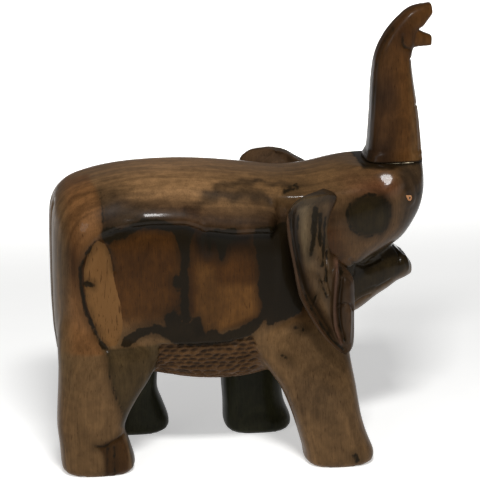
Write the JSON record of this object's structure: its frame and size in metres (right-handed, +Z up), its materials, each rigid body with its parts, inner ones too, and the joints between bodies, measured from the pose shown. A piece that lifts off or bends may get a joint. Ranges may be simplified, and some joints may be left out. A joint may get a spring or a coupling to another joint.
{
  "type": "carved wooden elephant figurine",
  "caption": "Carved and varnished hardwood elephant with a raised trunk glued and dowelled to the head, standing on its own feet as an ornament.",
  "frame": {"origin": "on the ground under the middle of the overall box", "axes": "+X forward towards the tip of the trunk, +Y to the animal's left, +Z up"},
  "size_m": [0.3379, 0.174, 0.4004],
  "materials": {
    "body_wood": "dark streaked hardwood, varnished to a gloss",
    "trunk_wood": "golden brown hardwood with a darker back, varnished",
    "dowel_wood": "plain pale dowel, unfinished",
    "wood_glue": "dried wood glue, pale and glossy where it squeezed out",
    "inlay_wood": "pale tan inlay, varnished",
    "peg_wood": "black peg, varnished"
  },
  "bodies": {
    "root": {"carved_body": "body_wood", "trunk": "trunk_wood", "trunk_dowel": "dowel_wood", "trunk_glue_line": "wood_glue", "right_eye_inlay": "inlay_wood", "left_eye_inlay": "inlay_wood", "right_eye_peg": "peg_wood", "left_eye_peg": "peg_wood"}
  },
  "joints": []
}
